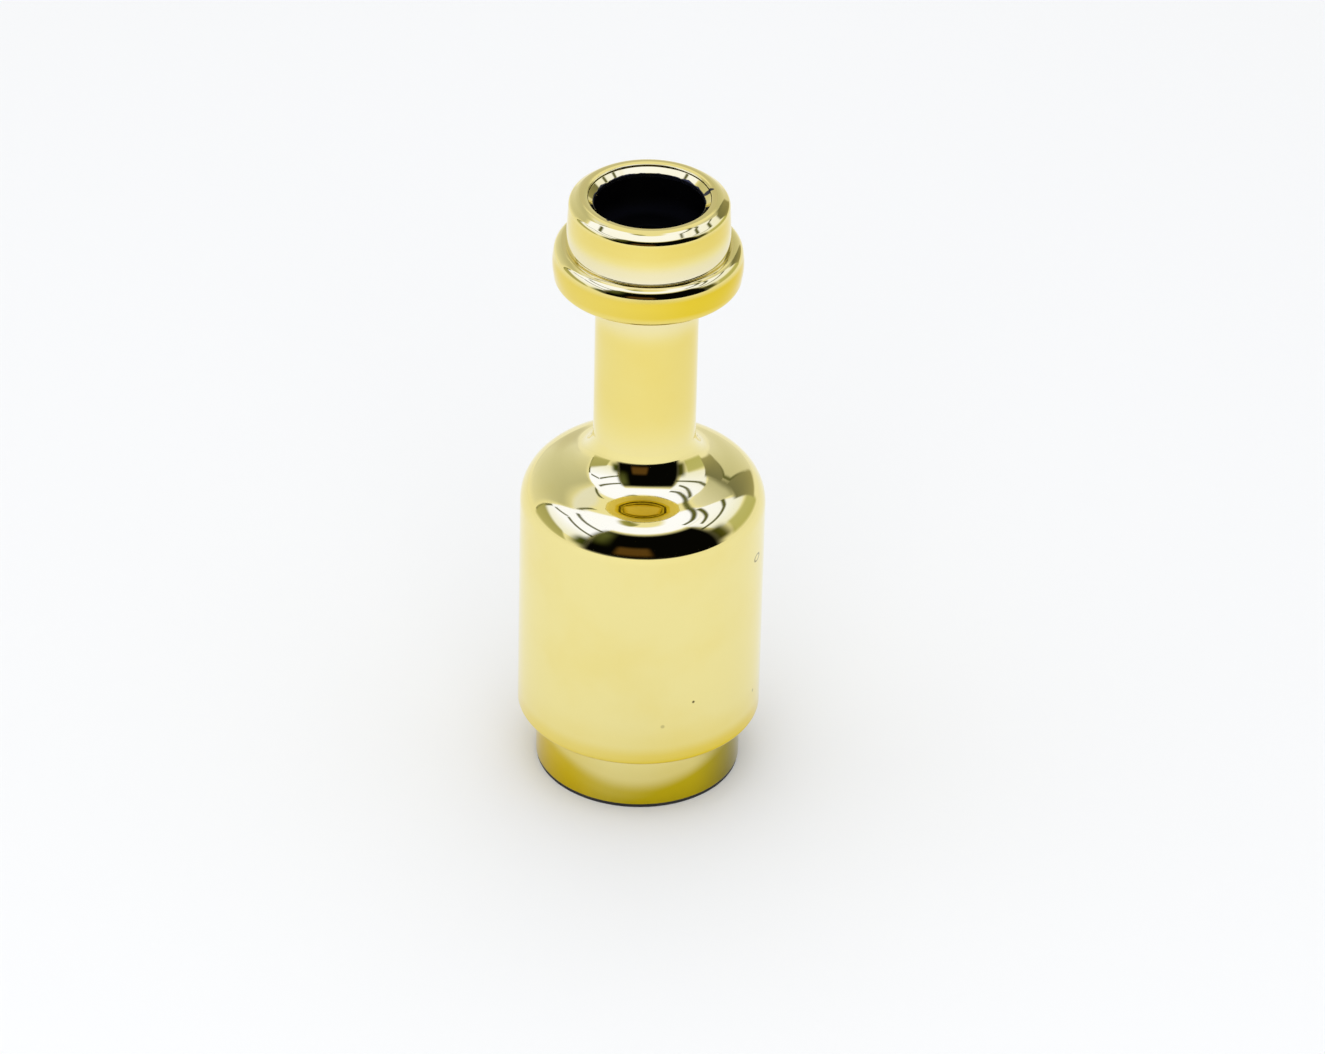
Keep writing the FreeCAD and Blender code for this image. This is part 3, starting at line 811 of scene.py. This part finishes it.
def collar_gold():
    """The same gold, with a deeper painted reflection tint on its wall, and under it a painted
    reflection band and a painted shadow ring round the joint.
    """
    # Painted reflection: deeper yellow on the collar's wall, where it mirrors the gold beside it.
    material, nodes, shader = gold_plate(
        "gold_plate_collar", [(85.3, 0.15), (86.0, 0.5), (87.0, 0.85), (89.2, 0.85), (90.4, 0.15)]
    )
    radius = nodes.radius()
    underneath = nodes.ramp(nodes.split_place()[2], 85.32 * MM, 85.4 * MM, 1.0, 0.0)
    # Painted reflection: a deep yellow band on the outer part of the underside.
    painted_underside_reflection = nodes.ramp(radius, 10.16 * MM, 10.22 * MM, 1.0, 0.0)
    # Painted shadow: a dark ring on the underside, round the neck.
    inner_edge = nodes.ramp(radius, 8.2 * MM, 8.25 * MM)
    outer_edge = nodes.ramp(radius, 9.0 * MM, 9.05 * MM, 1.0, 0.0)
    ring = nodes.math("MULTIPLY", inner_edge, outer_edge)
    coat(nodes, shader, nodes.math("MULTIPLY", underneath, painted_underside_reflection), DEEP_PAINTED_REFLECTION)
    coat(nodes, shader, nodes.math("MULTIPLY", underneath, ring), PAINTED_JOINT_SHADOW)
    return material


finish_piece(make_cup_housing(), collar_gold(), "cup", "cup_housing")

# ---------------------------------------------------------------------------------------
# Cup insert: the black inside of the mouth, turned from acetal. A bowl narrows to the
# throat, and the stem below it plugs into the neck.


def black_acetal():
    """Deep black acetal with a dull turned skin, so that the mouth looks unlit."""
    material, nodes, shader = new_material("black_acetal")
    skin = nodes.add("ShaderNodeGroup", node_tree=SKIN_GRAIN)
    marks = nodes.add("ShaderNodeGroup", {"Ring Scale": 7000.0}, node_tree=TURNING_MARKS)
    black = (0.0004, 0.0004, 0.0004, 1.0)
    worn = (0.0012, 0.0012, 0.0012, 1.0)
    bump = nodes.add(
        "ShaderNodeBump", {"Height": marks.outputs["Rings"], "Strength": 0.3, "Distance": 0.02 * MM}
    )
    nodes.fill(shader, {
        "Base Color": nodes.mix(nodes.ramp(skin.outputs["Clouds"], 0.45, 0.75), black, worn),
        "Roughness": nodes.ramp(marks.outputs["Streaks"], 0.3, 0.7, 0.5, 0.62),
        "Specular IOR Level": 0.03,
        "Normal": bump.outputs["Normal"],
    })
    return material


BLACK_ACETAL = black_acetal()
dress("cup_insert", BLACK_ACETAL)

# ---------------------------------------------------------------------------------------
# Rim: the screw-on playing rim, turned from brass, with a plain skirt outside and a fine
# thread inside. Its lip is rounded and polished, and gold plated like the rest.


def make_rim():
    low_corner, high_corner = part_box("rim")
    bottom, skirt = low_corner.z / MM, high_corner.x / MM
    lip_radius, step_radius, mouth = 11.9, 9.1, 8.2
    outer_rounding, crown_rounding, step_rounding = 1.0, 1.9, 0.25
    crown_radius, crown = 10.2, bottom + 8.27
    outer_drop, step_drop, ledge_drop, mouth_drop = 1.25, 0.33, 0.65, 1.34
    minor, pocket = RIM_CREST + THREAD_CLEARANCE, RIM_CREST + SEAL_POCKET_WIDTH
    insert_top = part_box("cup_insert")[1].z / MM + 0.1
    insert_bore = 9.2
    thread_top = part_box("cup_housing")[1].z / MM + 0.3
    outline = [
        (pocket, bottom),
        (skirt, bottom, EDGE_BREAK),
        (lip_radius, crown - outer_drop, outer_rounding),
        (crown_radius, crown, crown_rounding),
        (step_radius, crown - step_drop, step_rounding),
        (step_radius - 0.05, crown - ledge_drop, 0.12),
        (mouth, crown - mouth_drop, 0.2),
        (mouth, insert_top),
        (insert_bore, insert_top),
        (insert_bore, thread_top),
        (minor, thread_top),
        (minor, bottom + SEAL_RECESS),
        (pocket, bottom + SEAL_RECESS),
    ]
    threads = [thread_on(minor, bottom + SEAL_RECESS, thread_top, FINE_PITCH)]
    return turned("rim_turned", outline, threads)


BLACK_PAINT = (0.002, 0.002, 0.002, 1.0)
PAINT_FLECKS = [  # centre and half sizes in mm
    ((8.65, 2.3, 98.8), (0.95, 0.45, 1.6)),
    ((-5.95, -6.5, 99.0), (0.42, 1.0, 1.6)),
]


def rim_gold():
    """The same gold, with the mouth's black paint strayed a little over its inner edge."""
    # Painted reflection tints by height: deeper yellow high on the skirt, paler gold low on it.
    material, nodes, shader = gold_plate(
        "gold_plate_rim",
        [(91.4, 0.0), (94.0, 0.05), (96.1, 0.45), (97.4, 0.5), (98.2, 0.2), (99.5, 0.15)],
        pale_reflection_levels=[(91.4, 1.0), (93.0, 0.7), (94.8, 0.0), (99.5, 0.0)],
    )
    ragged = nodes.add(
        "ShaderNodeTexNoise", {"Vector": nodes.place(), "Scale": 500.0, "Detail": 2.0}
    ).outputs["Fac"]
    edge = nodes.math("ADD", nodes.radius(), nodes.math("MULTIPLY", ragged, -0.7 * MM))
    inside = nodes.ramp(edge, 7.95 * MM, 7.99 * MM, 1.0, 0.0)
    below_lip = nodes.ramp(nodes.split_place()[2], 98.7 * MM, 98.75 * MM, 1.0, 0.0)
    paint = nodes.math("MULTIPLY", inside, below_lip)
    for centre, half_size in PAINT_FLECKS:
        wavy = blemish(nodes, centre, half_size, nodes.math("MULTIPLY", ragged, 0.8))
        paint = nodes.math("MAXIMUM", paint, nodes.ramp(wavy, 1.25, 1.35, 1.0, 0.0))
    coat(nodes, shader, paint, BLACK_PAINT)
    polished = shader.inputs["Roughness"].links[0].from_socket
    nodes.fill(shader, {
        "Metallic": nodes.math("SUBTRACT", 1.0, paint),
        "Roughness": nodes.math("ADD", polished, nodes.math("MULTIPLY", paint, 0.4)),
    })
    return material


finish_piece(make_rim(), rim_gold(), "rim", "rim")

# ---------------------------------------------------------------------------------------
# Studio: a white table, soft lamps in front, overhead, behind and at the left, and cards
# that only the metal sees. A mirror finish shows its form only by what stands round it.

TABLE_RADIUS = 3.0
TABLE_WHITE = (0.84, 0.845, 0.858, 1.0)
BACKGROUND_WHITE = (0.93, 0.935, 0.935, 1.0)
STUDIO_MIDDLE = Vector((0.0, 0.0, 0.05))


def direction(azimuth, elevation):
    """Unit vector, angles in degrees: azimuth 0 points to the camera, 90 to its right."""
    turn, lift = math.radians(azimuth), math.radians(elevation)
    return Vector((
        math.sin(turn) * math.cos(lift), -math.cos(turn) * math.cos(lift), math.sin(lift),
    ))


def seen_directly(nodes):
    """1 for rays from the camera, a mirror or glass, 0 for the light that falls on things."""
    rays = nodes.add("ShaderNodeLightPath").outputs
    camera_or_mirror = nodes.math("MAXIMUM", rays["Is Camera Ray"], rays["Is Glossy Ray"])
    return nodes.math("MAXIMUM", camera_or_mirror, rays["Is Transmission Ray"])


def make_table():
    """Round white table top that takes the shadow, and fades into the background."""
    material, nodes, shader = new_material("table_white")
    distance = nodes.vector("LENGTH", nodes.place())
    nodes.fill(shader, {
        "Base Color": TABLE_WHITE, "Roughness": 1.0, "Specular IOR Level": 0.0,
    })
    glow = nodes.add("ShaderNodeEmission", {"Color": BACKGROUND_WHITE, "Strength": 1.0})
    far = nodes.math("MULTIPLY", nodes.ramp(distance, 0.15, 0.5), seen_directly(nodes))
    blend = nodes.add(
        "ShaderNodeMixShader", {0: far, 1: shader.outputs["BSDF"], 2: glow.outputs["Emission"]}
    )
    output = nodes.tree.nodes["Material Output"]
    nodes.tree.links.new(blend.outputs["Shader"], output.inputs["Surface"])
    count = 96
    turns = [2 * math.pi * step / count for step in range(count)]
    edge = [(TABLE_RADIUS * math.cos(turn), TABLE_RADIUS * math.sin(turn), 0) for turn in turns]
    mesh = bpy.data.meshes.new("table_top")
    mesh.from_pydata(edge, [], [range(count)])
    mesh.materials.append(material)
    table = bpy.data.objects.new("table_top", mesh)
    bpy.context.scene.collection.objects.link(table)


def soft_edge_group():
    """Cover of a card: 1 in the middle, fading to 0 at the edges over a share of its size."""
    group, nodes, inlet, outlet = effect_group(
        "soft_edge", {"Sideways": 0.1, "Upward": 0.1}, ["Cover", "Upward Place"]
    )
    place = nodes.add("ShaderNodeTexCoord").outputs["UV"]
    across, up, _ = nodes.add("ShaderNodeSeparateXYZ", {"Vector": place}).outputs
    covers = []
    for value, share in ((across, "Sideways"), (up, "Upward")):
        from_edge = nodes.math("MINIMUM", value, nodes.math("SUBTRACT", 1.0, value))
        covers.append(nodes.ramp(from_edge, 0.0, inlet.outputs[share]))
    nodes.tree.links.new(nodes.math("MULTIPLY", *covers), outlet.inputs["Cover"])
    nodes.tree.links.new(up, outlet.inputs["Upward Place"])
    return group


SOFT_EDGE = soft_edge_group()


def make_card(name, corners, distance, low_colour, high_colour=None, soft=(0.1, 0.1)):
    """A curved card that only the metal sees, between four (azimuth, elevation) corners.

    Its colour runs from the low edge to the high one, and its edges fade out.
    """
    steps = 16
    low_left, low_right, high_right, high_left = [Vector(corner) for corner in corners]
    verts, places, faces = [], [], []
    for row in range(steps + 1):
        left = low_left.lerp(high_left, row / steps)
        right = low_right.lerp(high_right, row / steps)
        for column in range(steps + 1):
            verts.append(STUDIO_MIDDLE + direction(*left.lerp(right, column / steps)) * distance)
            places.append((column / steps, row / steps))
    for row in range(steps):
        for column in range(steps):
            first = row * (steps + 1) + column
            faces.append((first, first + 1, first + steps + 2, first + steps + 1))
    material, nodes, shader = new_material(name)
    edge = nodes.add(
        "ShaderNodeGroup", {"Sideways": soft[0], "Upward": soft[1]}, node_tree=SOFT_EDGE
    )
    low_colour, high_colour = (*low_colour, 1.0), (*(high_colour or low_colour), 1.0)
    nodes.fill(shader, {
        "Base Color": (0.0, 0.0, 0.0, 1.0), "Roughness": 1.0, "Specular IOR Level": 0.0,
        "Emission Color": nodes.mix(edge.outputs["Upward Place"], low_colour, high_colour),
        "Emission Strength": 1.0,
        "Alpha": edge.outputs["Cover"],
    })
    mesh = bpy.data.meshes.new(name)
    mesh.from_pydata(verts, [], faces)
    layer = mesh.uv_layers.new(name="card")
    for loop in mesh.loops:
        layer.data[loop.index].uv = places[loop.vertex_index]
    mesh.materials.append(material)
    card = bpy.data.objects.new(name, mesh)
    bpy.context.scene.collection.objects.link(card)
    card.visible_camera = False
    card.visible_diffuse = False
    card.visible_shadow = False
    card.visible_transmission = False


def make_lamp(name, azimuth, elevation, radiance):
    """A soft box for the light on the table and the rubber; the metal doesn't see it."""
    distance, width = 0.6, 0.5
    lamp = bpy.data.lights.new(name, "AREA")
    lamp.shape = "SQUARE"
    lamp.size = width
    lamp.energy = radiance * math.pi * width ** 2
    holder = bpy.data.objects.new(name, lamp)
    away = direction(azimuth, elevation)
    holder.location = STUDIO_MIDDLE + away * distance
    holder.rotation_mode = "QUATERNION"
    holder.rotation_quaternion = away.to_track_quat("Z", "Y")
    holder.visible_camera = False
    holder.visible_glossy = False
    bpy.context.scene.collection.objects.link(holder)


def make_world():
    """White light tent: the same white all round, for the eye and for the light it gives."""
    world = bpy.data.worlds.new("white_room")
    bpy.context.scene.world = world
    world.use_nodes = True
    backdrop = world.node_tree.nodes["Background"]
    backdrop.inputs["Color"].default_value = BACKGROUND_WHITE
    backdrop.inputs["Strength"].default_value = 1.0


def make_camera():
    """Long lens, looking down at the object from the front."""
    elevation, distance, roll = 33.79, 1.077, 1.43
    aim = Vector((3.08, -4.19, 43.93)) * MM
    camera_data = bpy.data.cameras.new("product_camera")
    camera_data.sensor_width = 36.0
    camera_data.lens = 194.7
    camera_data.clip_start = 0.05
    camera = bpy.data.objects.new("product_camera", camera_data)
    away = direction(0.0, elevation)
    camera.location = aim + away * distance
    camera.rotation_mode = "QUATERNION"
    level = away.to_track_quat("Z", "Y")
    camera.rotation_quaternion = level @ Matrix.Rotation(math.radians(roll), 3, "Z").to_quaternion()
    bpy.context.scene.collection.objects.link(camera)
    bpy.context.scene.camera = camera


LAMP_FACE = (1.12, 1.26, 2.8)
DIM_FACE = (0.95, 1.02, 1.5)
ROOM_BLACK = (0.002, 0.002, 0.002)
FRAME_DARK = (0.11, 0.125, 0.045)

make_table()
make_lamp("front_softbox", 0, 35, 0.95)
make_lamp("overhead_softbox", 0, 80, 0.5)
make_lamp("back_softbox", 180, 45, 0.35)
make_lamp("left_softbox", -90, 35, 0.15)
make_card(
    "wooden_panel", ((-28, -4), (14, -4), (9, 26), (-23, 26)),
    0.35, (0.11, 0.055, 0.015), (0.10, 0.055, 0.02), (0.2, 0.35),
)
make_card(
    "left_fringe", ((-56, 10), (-26, 10), (-24, 60), (-54, 60)),
    0.355, (0.03, 0.035, 0.006), (0.14, 0.17, 0.08), (0.5, 0.4),
)
make_card(
    "dark_room", ((-62, -11), (82, -17), (74, 61), (-50, 60)),
    0.36, ROOM_BLACK, None, (0.1, 0.12),
)
make_card(
    "left_wing", ((-74, -8), (-40, -8), (-40, 28), (-64, 28)),
    0.37, (0.10, 0.13, 0.03), (0.05, 0.065, 0.01), (0.45, 0.4),
)
make_card(
    "right_wing", ((60, -6), (94, -8), (90, 38), (58, 38)),
    0.37, (0.09, 0.09, 0.02), (0.07, 0.08, 0.016), (0.45, 0.3),
)
make_card(
    "left_low_wall", ((-113, -8), (-66, -8), (-74, 12), (-113, 28)),
    0.50, (0.52, 0.53, 0.36), (0.40, 0.41, 0.26), (0.1, 0.25),
)
make_card(
    "right_low_wall", ((84, -8), (132, -8), (132, 22), (88, 30)),
    0.50, (0.52, 0.54, 0.30), (0.55, 0.58, 0.40), (0.12, 0.25),
)
make_card(
    "right_shade", ((126, 0), (151, 0), (150, 44), (124, 38)),
    0.49, (0.40, 0.39, 0.26), (0.17, 0.18, 0.15), (0.12, 0.15),
)
make_card(
    "right_band", ((132, 36), (153, 36), (148, 62), (130, 58)),
    0.51, (0.50, 0.52, 0.50), (0.85, 0.88, 1.1), (0.1, 0.1),
)
make_card(
    "left_face", ((-112, 30), (-48, 30), (-40, 66), (-118, 66)),
    0.60, LAMP_FACE, None, (0.05, 0.15),
)
make_card(
    "left_dim_face", ((-112, 6), (-50, 6), (-48, 38), (-112, 38)),
    0.62, DIM_FACE, LAMP_FACE, (0.05, 0.1),
)
make_card(
    "right_face", ((78, 20), (130, 20), (135, 64), (64, 64)),
    0.60, DIM_FACE, LAMP_FACE, (0.06, 0.15),
)
make_card(
    "overhead_face", ((-122, 58), (140, 58), (150, 82), (-125, 82)),
    0.60, LAMP_FACE, None, (0.03, 0.2),
)
make_card(
    "back_wall", ((140, -2), (220, -2), (220, 42), (140, 42)),
    0.70, (0.66, 0.66, 0.64), (0.60, 0.60, 0.58), (0.15, 0.12),
)
make_card(
    "left_wall", ((-166, -6), (-111, -4), (-111, 58), (-166, 52)),
    0.66, (0.86, 0.88, 0.94), (0.50, 0.52, 0.50), (0.15, 0.2),
)
make_card(
    "left_wall_top", ((-152, 48), (-113, 52), (-113, 64), (-150, 64)),
    0.64, (0.86, 0.92, 1.4), None, (0.1, 0.3),
)
make_card(
    "right_wall", ((146, -6), (176, -6), (176, 44), (148, 44)),
    0.66, (0.84, 0.85, 0.86), (0.55, 0.57, 0.54), (0.15, 0.2),
)
make_card(
    "ceiling", ((-110, 76), (-30, 76), (-10, 89), (-120, 89)),
    0.59, (0.45, 0.46, 0.24), (0.15, 0.17, 0.04), (0.2, 0.4),
)
RODS = {
    "left_post": ((-113, 0), (-112, 33)),
    "left_brace": ((-107, 32), (-91, 39)),
    "left_long_brace": ((-91, 39), (-47, 27)),
    "left_upper_brace": ((-105, 53), (-45, 46)),
    "left_top_rail": ((-131, 62), (-115, 54)),
    "right_post": ((143, 5), (147, 36)),
    "right_brace": ((134, 43), (66, 39)),
    "right_upper_brace": ((132, 58), (79, 49)),
    "right_top_rail": ((73, 63), (146, 60)),
}
ROD_BREADTH = 5.0
for name, ((low_turn, low_lift), (high_turn, high_lift)) in RODS.items():
    flat = abs(high_turn - low_turn) > abs(high_lift - low_lift)
    turn, lift = (0, ROD_BREADTH) if flat else (ROD_BREADTH, 0)
    make_card(
        name,
        ((low_turn, low_lift), (low_turn + turn, low_lift + lift),
         (high_turn + turn, high_lift + lift), (high_turn, high_lift)),
        0.57, FRAME_DARK, None, (0.4, 0.05),
    )
make_world()
make_camera()
bpy.context.scene.view_settings.view_transform = "Standard"
